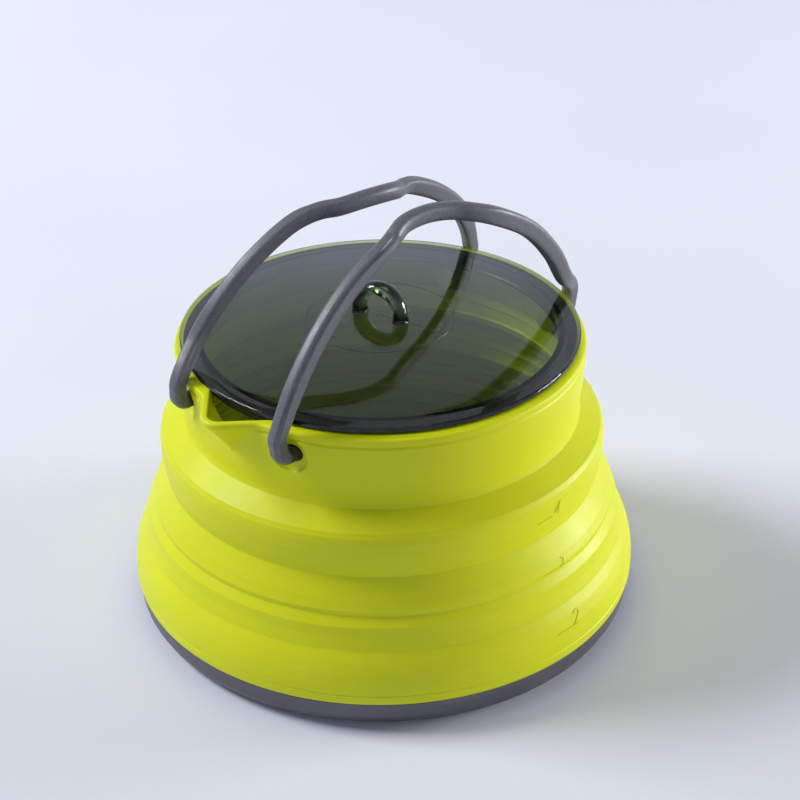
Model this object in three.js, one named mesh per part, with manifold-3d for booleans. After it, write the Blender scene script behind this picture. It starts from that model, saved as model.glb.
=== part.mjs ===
// Collapsible kettle: aluminium pan, folding silicone wall, stiff rim frame, clear lid and two bail handles.
// Lengths are in millimetres. The origin is on the floor under the centre of the pan.
// +Z is up and +X points out of the spout.
import * as THREE from 'three';
import { ConvexGeometry } from 'three/addons/geometries/ConvexGeometry.js';
import { mergeVertices } from 'three/addons/utils/BufferGeometryUtils.js';
import Module from 'manifold-3d';

const wasm = await Module();
wasm.setup();

// Facets
const turnSegments = 52;
const holeSegments = 16;
const curveSteps = 4;
const fineSteps = 3;
const quarterTurn = Math.PI / 2;

// General
const gap = 0.3;
const overrun = 1;
const webWall = 1.6;
const bandWall = 2.4;

// Pan
const pan = {
  radius: 91.5,
  height: 11.1,
  roundWidth: 6,
  roundHeight: 9,
  floorThickness: 2,
  lipInset: 2.9,
  lipThickness: 1.8,
  lipHeight: 6.9,
  bowlWidth: 2.3,
  bowlHeight: 3,
};
const lipOuterRadius = pan.radius - pan.lipInset;
const lipInnerRadius = lipOuterRadius - pan.lipThickness;

// Silicone wall: the height of each band and fold wall, from the pan up
const foot = {
  height: 18.4,
  innerWall: 1.9,
  innerRise: 1,
};
const lowerWebHeight = 11.1;
const lowerRingHeight = 4.3;
const middleWebHeight = 7;
const upperRingHeight = 16.9;
const upperWebHeight = 4.6;
const collar = {
  radius: 72,
  height: 26.6,
  wall: 2.6,
  rimRound: 0.9,
  beadWidth: 5.2,
  beadHeight: 2.6,
};

// Outlines of the wall: shares of the taper from the collar's radius to the pan's, and of the band's height
const footShares = { bottom: [1.01, 0], wide: [1.026, 0.141], bulge: [1.005, 0.685], top: [0.79, 1] };
const lowerWebShares = [[0.785, 0], [0.713, 0.441], [0.687, 0.757], [0.585, 1]];
const lowerRingShares = [[0.574, 0], [0.585, 0.349], [0.564, 0.674], [0.528, 1]];
const middleWebShares = [[0.518, 0], [0.313, 1]];
const upperRingShares = [[0.303, 0], [0.349, 0.243], [0.39, 0.663], [0.374, 0.911], [0.328, 1]];
const upperWebShares = [[0.308, 0], [-0.056, 1]];
const collarShares = {
  bottom: [-0.072, 0],
  neck: [-0.087, 0.075],
  edge: [-0.062, 0.301],
  upper: [-0.026, 0.545],
};
const taper = pan.radius - collar.radius;

// Where each band starts
const footBottom = pan.height + gap;
const lowerWebBottom = footBottom + foot.height + gap;
const lowerRingBottom = lowerWebBottom + lowerWebHeight + gap;
const middleWebBottom = lowerRingBottom + lowerRingHeight + gap;
const upperRingBottom = middleWebBottom + middleWebHeight + gap;
const upperWebBottom = upperRingBottom + upperRingHeight + gap;
const collarBottom = upperWebBottom + upperWebHeight + gap;
const rimTop = collarBottom + collar.height;
const beadBottom = rimTop - collar.beadHeight;
const beadInnerRadius = collar.radius - collar.beadWidth;
const collarInnerRadius = collar.radius - collar.wall;

// Spout: a V with a rounded tip on the rim, and two flat facets that meet in a keel below it
const spout = {
  reach: 9.3,
  tipRadius: 5,
  lipHeight: 1.6,
  wall: 2.5,
  depth: 16.4,
  keelInset: 2,
  rootInset: 3.6,
  channelDepth: 11.7,
  channelInset: 2.4,
};
const spoutTip = collar.radius + spout.reach;
const spoutCentre = spoutTip - spout.tipRadius;
const spoutRoot = collar.radius - spout.rootInset;

// Bail handles
const bail = {
  width: 6.6,
  thickness: 4.8,
  pinRadius: 2.8,
  bendRadius: 4.5,
  height: 61.5,
  lean: 7.5,
  legClearance: 1.6,
  pinClearance: 0.4,
};

// Handle eyes, and the frame with the sockets in which the pins turn
const eye = {
  across: 25.5,
  belowRim: 9.1,
  dishRadius: 6.3,
  dishDepth: 1.6,
};
const frame = {
  thickness: 2.2,
  height: 12.2,
  padWall: 1.5,
  padDepth: 3,
  socketWall: 1.2,
};
const eyeHeight = rimTop - eye.belowRim;
const holeRadius = bail.pinRadius + bail.pinClearance;
const socketRadius = bail.pinRadius + gap;
const frameTop = beadBottom - gap;
const frameBottom = frameTop - frame.height;
const frameOuterRadius = collarInnerRadius - gap;
const frameInnerRadius = frameOuterRadius - frame.thickness;
const padEnd = Math.sqrt(frameInnerRadius ** 2 - eye.across ** 2) - frame.padDepth;
const socketEnd = padEnd + frame.socketWall;
const pinEnd = socketEnd + bail.pinClearance;
const collarAtEyes = collar.radius + taper * collarShares.upper[0];
const eyeSurface = Math.sqrt(collarAtEyes ** 2 - eye.across ** 2);
const legAcross = eyeSurface + bail.pinRadius + bail.legClearance;

// Lid seal
const seal = {
  wall: 2,
  height: 4,
  lipWidth: 2,
  lipHeight: 1.2,
};
const sealOuterRadius = beadInnerRadius - gap;
const sealInnerRadius = sealOuterRadius - seal.wall;
const sealLipBottom = rimTop + gap;
const sealTop = sealLipBottom + seal.lipHeight;

// Lid and its loop
const lid = {
  rimWidth: 2,
  flangeWidth: 4,
  flangeHeight: 1.6,
  edgeRound: 0.6,
  domeHeight: 3.7,
  wall: 2,
  skirtWall: 1.9,
  skirtHeight: 4.5,
};
const loop = {
  radius: 10.75,
  thickness: 4.5,
  height: 12.8,
  sunkDepth: 1,
};
const loopAngle = THREE.MathUtils.degToRad(103.3);
const lidRadius = collar.radius - lid.rimWidth;
const flangeBottom = sealTop + gap;
const flangeTop = flangeBottom + lid.flangeHeight;
const domeTop = flangeTop + lid.domeHeight;
const skirtOuterRadius = sealInnerRadius - gap;
const skirtInnerRadius = skirtOuterRadius - lid.skirtWall;

// The bail between its two legs, in its own plane: shares of the leg's distance, the height and the lean
const bailShares = [
  [1.015, 0.146, -0.067], [1.01, 0.203, -0.173], [0.952, 0.348, -0.16], [0.847, 0.511, 0],
  [0.699, 0.673, 0.227], [0.52, 0.82, 0.413], [0.32, 0.932, 0.533], [0.229, 0.956, 0.8],
  [0.143, 0.989, 1], [-0.006, 1, 0.92], [-0.145, 0.98, 0.6], [-0.226, 0.959, 0.173],
  [-0.341, 0.909, -0.2], [-0.583, 0.738, -0.373], [-0.764, 0.517, -0.48], [-0.86, 0.335, -0.573],
  [-0.948, 0.25, -0.373], [-1.006, 0.197, -0.173], [-1.015, 0.146, -0.067],
];
const bailSteps = 34;
const bendSteps = 5;
const legSteps = 5;
const bailSides = 10;
const legPower = 2.4;
const leftBailTilt = THREE.MathUtils.degToRad(86.1);
const rightBailTilt = THREE.MathUtils.degToRad(102.2);

// A closed three.js geometry as a solid. Triangles that shrink to a line at the axis are dropped.
function toSolid(geometry) {
  const bare = geometry.clone();
  bare.deleteAttribute('normal');
  bare.deleteAttribute('uv');
  const merged = mergeVertices(bare);
  const index = merged.index.array;
  const kept = [];
  for (let i = 0; i < index.length; i += 3) {
    const [a, b, c] = [index[i], index[i + 1], index[i + 2]];
    if (a !== b && b !== c && c !== a) kept.push(a, b, c);
  }
  const vertProperties = new Float32Array(merged.attributes.position.array);
  const triVerts = new Uint32Array(kept);
  return new wasm.Manifold(new wasm.Mesh({ numProp: 3, vertProperties, triVerts }));
}

function toGeometry(solid) {
  const mesh = solid.getMesh();
  const geometry = new THREE.BufferGeometry();
  geometry.setAttribute('position', new THREE.BufferAttribute(new Float32Array(mesh.vertProperties), 3));
  geometry.setIndex(Array.from(mesh.triVerts));
  geometry.computeVertexNormals();
  return geometry;
}

// A profile runs up its outside and down its inside. It closes on itself unless it starts on the axis.
function revolve(profile) {
  const points = profile.map(([radius, height]) => new THREE.Vector2(radius, height));
  if (profile[0][0] > 0) points.push(points[0].clone());
  const geometry = new THREE.LatheGeometry(points, turnSegments);
  geometry.rotateX(quarterTurn);
  return toSolid(geometry);
}

// The same points moved inwards, from the top down
function insideOf(points, wall) {
  return points.map(([radius, height]) => [radius - wall, height]).reverse();
}

function arcPoints(centre, radiusAcross, radiusUp, from, to, steps) {
  const points = [];
  for (let i = 0; i <= steps; i += 1) {
    const angle = from + (to - from) * i / steps;
    points.push([centre[0] + radiusAcross * Math.cos(angle), centre[1] + radiusUp * Math.sin(angle)]);
  }
  return points;
}

function bezierPoints(start, control, end, steps) {
  const curve = new THREE.QuadraticBezierCurve(
    new THREE.Vector2(...start), new THREE.Vector2(...control), new THREE.Vector2(...end),
  );
  return curve.getPoints(steps).map((point) => [point.x, point.y]);
}

// A round bar along X between two distances from the centre plane, on one side
function barAlongX(radius, from, to, side, segments = holeSegments, endRadius = radius) {
  const geometry = new THREE.CylinderGeometry(endRadius, radius, to - from, segments);
  geometry.rotateZ(-quarterTurn);
  geometry.translate((from + to) / 2, 0, 0);
  if (side < 0) geometry.rotateZ(Math.PI);
  return geometry;
}

function eyes() {
  const places = [];
  for (const side of [1, -1]) {
    for (const across of [1, -1]) places.push({ side, y: across * eye.across });
  }
  return places;
}

// A point of the silicone wall from its two shares
function wallPoint([outShare, upShare], bottom, height) {
  return [collar.radius + outShare * taper, bottom + upShare * height];
}

function makePan() {
  const footRadius = pan.radius - pan.roundWidth;
  const centre = [footRadius, pan.roundHeight];
  const curve = arcPoints(centre, pan.roundWidth, pan.roundHeight, -quarterTurn, 0, curveSteps);
  return revolve([
    [0, 0],
    ...curve,
    [pan.radius, pan.height],
    [lipOuterRadius, pan.height],
    [lipOuterRadius, pan.height + pan.lipHeight],
    [lipInnerRadius, pan.height + pan.lipHeight],
    [lipInnerRadius, pan.floorThickness + pan.bowlHeight],
    [lipInnerRadius - pan.bowlWidth, pan.floorThickness],
    [0, pan.floorThickness],
  ]);
}

// The foot band grips both sides of the pan's lip.
function makeFootBand() {
  const slotInner = lipInnerRadius - gap;
  const slotOuter = lipOuterRadius + gap;
  const slotTop = pan.height + pan.lipHeight + gap;
  const inside = slotInner - foot.innerWall;
  const insideBottom = footBottom + foot.innerRise;
  const bottom = wallPoint(footShares.bottom, footBottom, foot.height);
  const wide = wallPoint(footShares.wide, footBottom, foot.height);
  const bulge = wallPoint(footShares.bulge, footBottom, foot.height);
  const top = wallPoint(footShares.top, footBottom, foot.height);
  return revolve([
    [inside, insideBottom],
    [slotInner, insideBottom],
    [slotInner, slotTop],
    [slotOuter, slotTop],
    [slotOuter, bottom[1]],
    bottom,
    ...bezierPoints(wide, bulge, top, curveSteps),
    [top[0] - bandWall, top[1]],
    [inside, bulge[1]],
  ]);
}

function makeRing(shares, bottom, height, wall) {
  const outside = shares.map((point) => wallPoint(point, bottom, height));
  return revolve([...outside, ...insideOf(outside, wall)]);
}

// Where the straight flanks of the spout would meet
function spoutApex(shift) {
  return spoutCentre + (spout.tipRadius - shift) * Math.SQRT2;
}

function spoutBlock(shift, root, keel, bottomRoot, top) {
  const radius = spout.tipRadius - shift;
  const halfWidth = spoutApex(shift) - root;
  const arc = arcPoints([spoutCentre, 0], radius, radius, -quarterTurn / 2, quarterTurn / 2, curveSteps);
  const outline = [...arc, [root, -halfWidth], [root, halfWidth]];
  const points = [new THREE.Vector3(keel[0], 0, keel[1]), new THREE.Vector3(bottomRoot, 0, keel[1])];
  for (const [x, y] of outline) {
    points.push(new THREE.Vector3(x, y, rimTop - spout.lipHeight), new THREE.Vector3(x, y, top));
  }
  return toSolid(new ConvexGeometry(points));
}

function makeCollar() {
  const bottom = wallPoint(collarShares.bottom, collarBottom, collar.height);
  const neck = wallPoint(collarShares.neck, collarBottom, collar.height);
  const edge = wallPoint(collarShares.edge, collarBottom, collar.height);
  const upper = wallPoint(collarShares.upper, collarBottom, collar.height);
  const shell = revolve([
    [bottom[0] - bandWall, bottom[1]],
    bottom,
    neck,
    edge,
    upper,
    [collar.radius, beadBottom],
    [collar.radius, rimTop - collar.rimRound],
    [collar.radius - collar.rimRound, rimTop],
    [beadInnerRadius + collar.rimRound, rimTop],
    [beadInnerRadius, rimTop - collar.rimRound],
    [beadInnerRadius, beadBottom],
    [collarInnerRadius, beadBottom],
    [collarInnerRadius, frameBottom - gap],
    [edge[0] - bandWall, edge[1]],
    [neck[0] - bandWall, neck[1]],
  ]);
  const keel = [collar.radius - spout.keelInset, rimTop - spout.depth];
  const channelKeel = [collar.radius - spout.channelInset, rimTop - spout.channelDepth];
  const channelRoot = beadInnerRadius - overrun;
  const outer = spoutBlock(0, spoutRoot, keel, keel[0], rimTop);
  const channel = spoutBlock(spout.wall, channelRoot, channelKeel, channelRoot, rimTop + overrun);
  let solid = shell.add(outer).subtract(channel);
  for (const { side, y } of eyes()) {
    const hole = barAlongX(holeRadius, padEnd, collar.radius + overrun, side);
    const dishBottom = eyeSurface - eye.dishDepth;
    const dish = barAlongX(holeRadius, dishBottom, eyeSurface, side, holeSegments, eye.dishRadius);
    const mouth = barAlongX(eye.dishRadius, eyeSurface, collar.radius + overrun, side);
    for (const cutter of [hole, dish, mouth]) {
      cutter.translate(0, y, eyeHeight);
      solid = solid.subtract(toSolid(cutter));
    }
  }
  return solid;
}

// A C-shaped ring, open at the spout, with four pads that hold the pins
function makeFrame() {
  const ring = revolve([
    [frameInnerRadius, frameBottom],
    [frameOuterRadius, frameBottom],
    [frameOuterRadius, frameTop],
    [frameInnerRadius, frameTop],
  ]);
  const disc = revolve([
    [0, frameBottom],
    [frameOuterRadius, frameBottom],
    [frameOuterRadius, frameTop],
    [0, frameTop],
  ]);
  let solid = ring;
  for (const { side, y } of eyes()) {
    const pad = barAlongX(socketRadius + frame.padWall, padEnd, frameOuterRadius, side);
    pad.translate(0, y, eyeHeight);
    solid = solid.add(toSolid(pad).intersect(disc));
  }
  for (const { side, y } of eyes()) {
    const socket = barAlongX(socketRadius, socketEnd, frameOuterRadius + overrun, side);
    socket.translate(0, y, eyeHeight);
    solid = solid.subtract(toSolid(socket));
  }
  const width = 2 * (spoutApex(0) - spoutRoot + 2 * gap);
  const opening = new THREE.BoxGeometry(frameOuterRadius, width, frame.height + 2 * overrun);
  opening.translate(frameOuterRadius, 0, (frameTop + frameBottom) / 2);
  return solid.subtract(toSolid(opening));
}

// The height of the dome falls with the square of the distance from the axis.
function domePoints(top, edgeRadius, edgeHeight, steps) {
  const points = [];
  for (let i = steps; i >= 0; i -= 1) {
    const radius = edgeRadius * i / steps;
    points.push([radius, top - (top - edgeHeight) * (radius / edgeRadius) ** 2]);
  }
  return points;
}

// A closed bar along a line of points that lies roughly in one plane
function sweep(path, normal, sectionAt, sides) {
  const positions = [];
  const indices = [];
  const last = path.length - 1;
  path.forEach((point, i) => {
    const ahead = path[Math.min(i + 1, last)];
    const behind = path[Math.max(i - 1, 0)];
    const tangent = new THREE.Vector3().subVectors(ahead, behind).normalize();
    const sideways = new THREE.Vector3().crossVectors(normal, tangent).normalize();
    const across = new THREE.Vector3().crossVectors(tangent, sideways);
    for (let k = 0; k < sides; k += 1) {
      const [a, b] = sectionAt(i, 2 * Math.PI * (k + 0.5) / sides);
      const corner = point.clone().addScaledVector(sideways, a).addScaledVector(across, b);
      positions.push(corner.x, corner.y, corner.z);
    }
  });
  for (let i = 0; i < last; i += 1) {
    for (let k = 0; k < sides; k += 1) {
      const next = (k + 1) % sides;
      const [a, b] = [i * sides + k, i * sides + next];
      const [c, d] = [a + sides, b + sides];
      indices.push(a, b, d, a, d, c);
    }
  }
  for (let k = 1; k < sides - 1; k += 1) {
    const end = last * sides;
    indices.push(0, k + 1, k, end, end + k, end + k + 1);
  }
  const geometry = new THREE.BufferGeometry();
  geometry.setAttribute('position', new THREE.Float32BufferAttribute(positions, 3));
  geometry.setIndex(indices);
  return geometry;
}

function makeLoop() {
  const radius = loop.radius - loop.thickness / 2;
  const centre = domeTop + loop.height - loop.radius;
  const base = domeTop - loop.sunkDepth;
  const path = [new THREE.Vector3(radius, 0, base)];
  for (const [across, up] of arcPoints([0, centre], radius, radius, 0, Math.PI, 3 * curveSteps)) {
    path.push(new THREE.Vector3(across, 0, up));
  }
  path.push(new THREE.Vector3(-radius, 0, base));
  const half = loop.thickness / 2;
  const round = (i, angle) => [half * Math.cos(angle), half * Math.sin(angle)];
  const geometry = sweep(path, new THREE.Vector3(0, 1, 0), round, 2 * curveSteps);
  geometry.rotateZ(loopAngle);
  return toSolid(geometry);
}

function makeLid() {
  const underside = domePoints(domeTop - lid.wall, skirtInnerRadius, flangeBottom, fineSteps);
  const skirtBottom = flangeBottom - lid.skirtHeight;
  const body = revolve([
    ...underside.reverse(),
    [skirtInnerRadius, skirtBottom],
    [skirtOuterRadius, skirtBottom],
    [skirtOuterRadius, flangeBottom],
    [lidRadius, flangeBottom],
    [lidRadius, flangeTop - lid.edgeRound],
    [lidRadius - lid.edgeRound, flangeTop],
    ...domePoints(domeTop, lidRadius - lid.flangeWidth, flangeTop, curveSteps),
  ]);
  return body.add(makeLoop());
}

function makeSeal() {
  const lipRadius = sealOuterRadius + seal.lipWidth;
  return revolve([
    [sealInnerRadius, sealTop - seal.height],
    [sealOuterRadius, sealTop - seal.height],
    [sealOuterRadius, sealLipBottom],
    [lipRadius, sealLipBottom],
    [lipRadius, sealTop],
    [sealInnerRadius, sealTop],
  ]);
}

function bailPath() {
  const pinTop = legAcross - bail.bendRadius;
  const bendAt = (side, i) => {
    const angle = quarterTurn * i / bendSteps;
    const across = pinTop + bail.bendRadius * Math.sin(angle);
    return new THREE.Vector3(side * across, bail.bendRadius * (1 - Math.cos(angle)), 0);
  };
  const knots = bailShares.map(([across, up, lean]) => (
    new THREE.Vector3(across * legAcross, up * bail.height, lean * bail.lean)
  ));
  knots.unshift(bendAt(1, bendSteps));
  knots.push(bendAt(-1, bendSteps));
  const path = [new THREE.Vector3(pinEnd, 0, 0)];
  for (let i = 0; i < bendSteps; i += 1) path.push(bendAt(1, i));
  path.push(...new THREE.CatmullRomCurve3(knots, false, 'centripetal').getSpacedPoints(bailSteps));
  for (let i = bendSteps - 1; i >= 0; i -= 1) path.push(bendAt(-1, i));
  path.push(new THREE.Vector3(-pinEnd, 0, 0));
  return path;
}

// The pins are round. From the bend on, the bail is wider than it is thick and slightly square.
function bailSection(path, i, angle) {
  const fromEnd = Math.min(i, path.length - 1 - i);
  const share = Math.min(Math.max((fromEnd - 1) / (bendSteps + legSteps), 0), 1);
  const power = 2 + (legPower - 2) * share;
  const halfWidth = bail.pinRadius + (bail.width / 2 - bail.pinRadius) * share;
  const halfThickness = bail.pinRadius + (bail.thickness / 2 - bail.pinRadius) * share;
  const [c, s] = [Math.cos(angle), Math.sin(angle)];
  const reach = 1 / (Math.abs(c) ** power + Math.abs(s) ** power) ** (1 / power);
  return [halfWidth * reach * c, halfThickness * reach * s];
}

function makeBail() {
  const path = bailPath();
  const section = (i, angle) => bailSection(path, i, angle);
  return toSolid(sweep(path, new THREE.Vector3(0, 0, 1), section, bailSides));
}

function piece(name, solid, look) {
  const mesh = new THREE.Mesh(toGeometry(solid), new THREE.MeshStandardMaterial(look));
  mesh.name = name;
  return mesh;
}

const lime = { color: 0xc3d52b, roughness: 0.62, metalness: 0 };
const greyPlastic = { color: 0x67666f, roughness: 0.45, metalness: 0 };
const darkAluminium = { color: 0x6a676d, roughness: 0.42, metalness: 0.6 };
const smoke = { color: 0x4b5347, roughness: 0.08, metalness: 0, transparent: true, opacity: 0.55 };
const darkRubber = { color: 0x2c2b31, roughness: 0.6, metalness: 0 };
const darkNylon = { color: 0x39383d, roughness: 0.5, metalness: 0 };

const kettle = new THREE.Group();
kettle.add(piece('base_pan', makePan(), darkAluminium));
kettle.add(piece('foot_band', makeFootBand(), lime));
const bands = [
  ['lower_web', lowerWebShares, lowerWebBottom, lowerWebHeight, webWall],
  ['lower_ring', lowerRingShares, lowerRingBottom, lowerRingHeight, bandWall],
  ['middle_web', middleWebShares, middleWebBottom, middleWebHeight, webWall],
  ['upper_ring', upperRingShares, upperRingBottom, upperRingHeight, bandWall],
  ['upper_web', upperWebShares, upperWebBottom, upperWebHeight, bandWall],
];
for (const [name, shares, bottom, height, wall] of bands) {
  kettle.add(piece(name, makeRing(shares, bottom, height, wall), lime));
}
kettle.add(piece('collar', makeCollar(), lime));
kettle.add(piece('rim_frame', makeFrame(), darkNylon));
kettle.add(piece('lid', makeLid(), smoke));
kettle.add(piece('lid_seal', makeSeal(), darkRubber));

const bails = [['left_bail', leftBailTilt, 0], ['right_bail', rightBailTilt, Math.PI]];
for (const [name, tilt, turn] of bails) {
  const side = new THREE.Group();
  side.rotation.z = turn;
  const mesh = piece(name, makeBail(), greyPlastic);
  mesh.position.set(0, eye.across, eyeHeight);
  mesh.rotation.x = tilt;
  side.add(mesh);
  kettle.add(side);
}

export default kettle;
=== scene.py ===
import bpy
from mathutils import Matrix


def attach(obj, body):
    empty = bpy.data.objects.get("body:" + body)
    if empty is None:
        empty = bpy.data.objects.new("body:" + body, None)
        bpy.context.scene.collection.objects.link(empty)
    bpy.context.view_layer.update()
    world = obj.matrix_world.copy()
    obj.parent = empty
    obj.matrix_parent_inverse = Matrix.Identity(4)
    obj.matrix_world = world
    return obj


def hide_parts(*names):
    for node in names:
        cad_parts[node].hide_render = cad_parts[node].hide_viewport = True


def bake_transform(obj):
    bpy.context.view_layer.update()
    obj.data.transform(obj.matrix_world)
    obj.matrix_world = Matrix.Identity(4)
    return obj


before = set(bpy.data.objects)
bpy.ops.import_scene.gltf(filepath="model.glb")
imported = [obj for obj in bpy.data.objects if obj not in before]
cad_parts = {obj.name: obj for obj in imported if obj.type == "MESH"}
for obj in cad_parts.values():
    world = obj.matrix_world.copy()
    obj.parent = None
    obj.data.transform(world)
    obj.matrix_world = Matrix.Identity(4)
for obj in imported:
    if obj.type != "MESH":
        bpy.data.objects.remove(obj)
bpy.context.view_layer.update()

import math

import bmesh
import bpy
import numpy as np
from mathutils import Matrix, Vector

# Looks for a collapsible kettle. Lengths are in millimetres in the part's frame, where +X points out of the
# spout and the floor is at height 0. MM turns them into Blender's metres.
MM = 0.001
QUARTER = math.pi / 2
FULL = 2 * math.pi

# An outline is a list of (radius, height, rounding of that corner).
# Silicone wall, outside, from the pan up
WALL = [
    (91.7, 11.4, 0), (91.95, 12.2, 0.5), (92.0, 13.4, 1), (92.0, 14.7, 0.1), (91.75, 15.0, 0.1),
    (91.97, 15.3, 0.1), (91.85, 18.0, 8), (91.0, 22.5, 10), (89.4, 26.6, 10),
    (87.3, 30.0, 0.8), (86.0, 34.6, 6), (85.5, 38.2, 1.6), (83.25, 41.35, 0.7), (83.45, 43.2, 0.5),
    (82.9, 44.5, 0.7), (82.2, 46.0, 1.0), (77.9, 53.4, 0.9), (78.8, 57.5, 6), (79.5, 62.6, 0.9),
    (79.55, 66.7, 0.9), (79.2, 69.0, 1.4), (78.2, 70.5, 0.9), (70.6, 75.3, 1.3), (70.3, 77.5, 2),
    (70.8, 83.5, 0.9), (71.5, 90.0, 12), (72.0, 98.5, 0.5), (71.4, 99.1, 0.3), (71.95, 99.8, 0.4),
    (72.0, 101.1, 0),
]
# Silicone wall, inside, from the pan up
INSIDE = [
    (84.6, 12.4, 0), (84.6, 24.0, 5), (85.0, 29.6, 4), (84.2, 35.0, 5), (83.6, 38.0, 2), (81.2, 40.9, 1),
    (80.8, 42.5, 0.8), (80.4, 45.2, 0.8), (76.3, 52.7, 0.8), (75.9, 54.0, 1), (76.5, 57.5, 4),
    (77.1, 62.6, 6), (77.1, 66.7, 3), (76.2, 69.3, 1), (68.4, 74.4, 1), (67.9, 77.5, 3), (68.4, 83.5, 0),
]
# Ridges run round the inside: (height, how far it stands in, half its width)
INSIDE_RIDGES = [
    (83.0, 0.8, 0.5), (77.2, 0.8, 0.5), (72.6, 0.7, 0.45), (65.0, 1.1, 0.6), (60.6, 1.1, 0.6),
    (55.2, 1.1, 0.6), (47.0, 0.7, 0.5), (36.4, 0.7, 0.5), (31.0, 0.7, 0.5), (25.0, 0.7, 0.5),
]
# Bands and fold walls meet at these heights: (outside, inside)
FOOT_BOTTOM = (11.4, 12.4)
LOWER_FOLD = [(30.0, 29.6), (41.35, 40.9)]
MIDDLE_FOLD = [(45.9, 45.2), (53.4, 53.2)]
UPPER_FOLD = [(70.4, 69.3), (75.3, 74.4)]

# Pan, up its outside and down its inside
PAN = [
    (0.01, 0, 0), (78.5, 0, 0.3), (79.2, 0.35, 0.3), (82.5, 0.35, 0.3), (83.2, 0.0, 0.3), (85.5, 0.0, 2.5),
    (89.3, 1.9, 3), (91.0, 5.2, 4), (91.45, 9.0, 3), (91.45, 11.05, 0.35), (88.6, 11.05, 0.2),
    (88.6, 18, 0.4), (86.8, 18, 0.4), (86.8, 5.0, 3), (83.5, 2.0, 2), (0.01, 2.0, 0),
]
# Seal, round the lid's skirt
SEAL = [
    (61.9, 99.1, 0), (61.9, 98.6, 0.2), (66.5, 98.6, 0.5), (66.5, 100.6, 0.3), (66.0, 101.0, 0.3),
    (66.5, 101.4, 0.3), (66.5, 102.4, 0.2), (68.5, 102.4, 0.5), (68.5, 103.6, 0.5), (64.4, 103.6, 0.1),
    (64.4, 99.1, 0),
]

# Collar: thick band above a step inside, with a bead round the rim. Its rows of vertices lie close
# together from fine_out up outside, for the spout, and down to fine_in inside, for the channel.
COLLAR = {
    "inner": 69.4, "step": 86.7, "step_round": 0.3, "below_step": 84.6, "ridges_top": 83.2,
    "rim_top": 102.1, "rim_round": 0.95, "bead_inner": 66.8, "bead_bottom": 99.5,
    "fine_out": 85.5, "fine_in": 90.0, "below_fine": 88.5,
}
# Spout: the keel and the channel start at (radius, height) and grow up to the round lip. It points a
# little to one side, and lies within its half sector. Both are in radians. Its lip droops a little.
SPOUT = {
    "tip": 81.3, "round": 7.0, "lip_bottom": 100.4, "keel": (70.0, 85.7), "channel": (69.6, 90.4),
    "wall": 2.5, "blend": 1.3, "turn": 0.024, "half_sector": 1.0,
    "droop": 0.3, "droop_radius": 73.0, "droop_height": 92.0, "droop_over": 8.0,
}
# Eyes for the bails' pins, each in a shallow dish
EYE = {"across": 25.5, "height": 93.0, "hole": 3.2, "bore": (56.0, 76.0), "dish": 6.6, "depth": 2.4,
       "edge_power": 0.45}

# Lid, the loop on top of it, turned by radians, and the fine lines in its face
LID = {
    "radius": 70.0, "flange_bottom": 103.9, "flange_top": 105.45, "dome_edge": 66.0, "dome_top": 109.2,
    "wall": 2.0, "skirt_outer": 64.2, "skirt_inner": 62.3, "skirt_bottom": 99.4,
    "skirt_round": 0.4, "corner_round": 0.2, "flange_round": 0.35, "edge_round": 0.9,
}
LOOP = {
    "outer": 10.75, "thick": 4.9, "top": 122.0, "turn": 1.803, "broad_share": 1.35, "root": 1.0,
    "flare_height": 1.6, "flare_share": 0.1, "flare_most": 1.6,
}
LID_LINE = {
    "circle": 26.0, "gate": 1.1, "parting_from": 0.8, "width": 0.4, "edge": 0.02, "peak": 0.04, "sunk": 0.08,
    "spacing": 1.2, "fewest": 24,
}

# Bail handles: the middle line in their own plane, as (across, height above the pin, lean to the lid)
BAIL_POINTS = [
    (71.2, 4.5, 0), (72.3, 9, -0.5), (71.9, 12.5, -1.3), (67.8, 21.4, -1.2), (60.3, 31.4, 0),
    (49.8, 41.4, 1.7), (37, 50.4, 3.1), (22.8, 57.3, 4), (16.3, 58.8, 6), (10.2, 60.8, 7.5),
    (-0.4, 61.5, 6.9), (-10.3, 60.3, 4.5), (-16.1, 59, 1.3), (-24.3, 55.9, -1.5), (-41.5, 45.4, -2.8),
    (-54.4, 31.8, -3.6), (-61.2, 20.6, -4.3), (-69.6, 13, -0.9), (-71.6, 9.4, 0), (-71.2, 4.5, 0),
]
# Half its width and half its thickness, its pins, and how far each bail is tilted up from level, in degrees
BAIL = {
    "half": 3.2, "flat": 2.4, "pin": 2.8, "pin_rows": (60.45, 60.8, 63.0, 65.5), "tip_share": 0.86,
    "leg": 71.2, "bend": 4.5, "spacing": 0.9, "left_tilt": 86.1, "right_tilt": 102.2,
}
# The legs are slim low down. The grip starts with a step after a narrow neck, and fades out at its far end.
BAIL_FORM = {
    "grow_rows": 14, "slim_share": 0.84, "slim_top": 14.0, "slim_over": 12.0,
    "grip_start": 17.2, "step_over": 1.2, "grip_end": 25.0, "fade_over": 6.0, "grip_share": 0.1,
    "neck_at": 18.0, "neck_over": 7.0, "neck_share": 0.2,
    "round_power": 2.0, "leg_power": 2.2, "grip_power": 0.3,
}
# Along each leg's face run a groove, a ridge and a raised lip: (distance from the middle, width, height)
LEG_GROOVE = (2.1, 0.32, 0.7)
LEG_RIDGE = (1.5, 0.26, 0.28)
LEG_LIP = (2.2, 0.12, 0.3)

# Level marks on the wall, a line then a number: (number, body, height of its line, height of the number).
# They start at so many degrees round the wall.
MARKS = [("4", "upper_wall", 61.2, 4.6), ("3", "lower_wall", 42.3, 3.0), ("2", "base", 22.0, 4.6)]
MARK = {
    "start": 86.3, "line": 6.6, "gap": 1.0, "width_share": 0.62, "slant_share": 0.2, "stroke": 0.6,
    "top_share": 0.7, "raised": 0.24, "sunk": 0.3, "spacing": 0.5,
}
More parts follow.
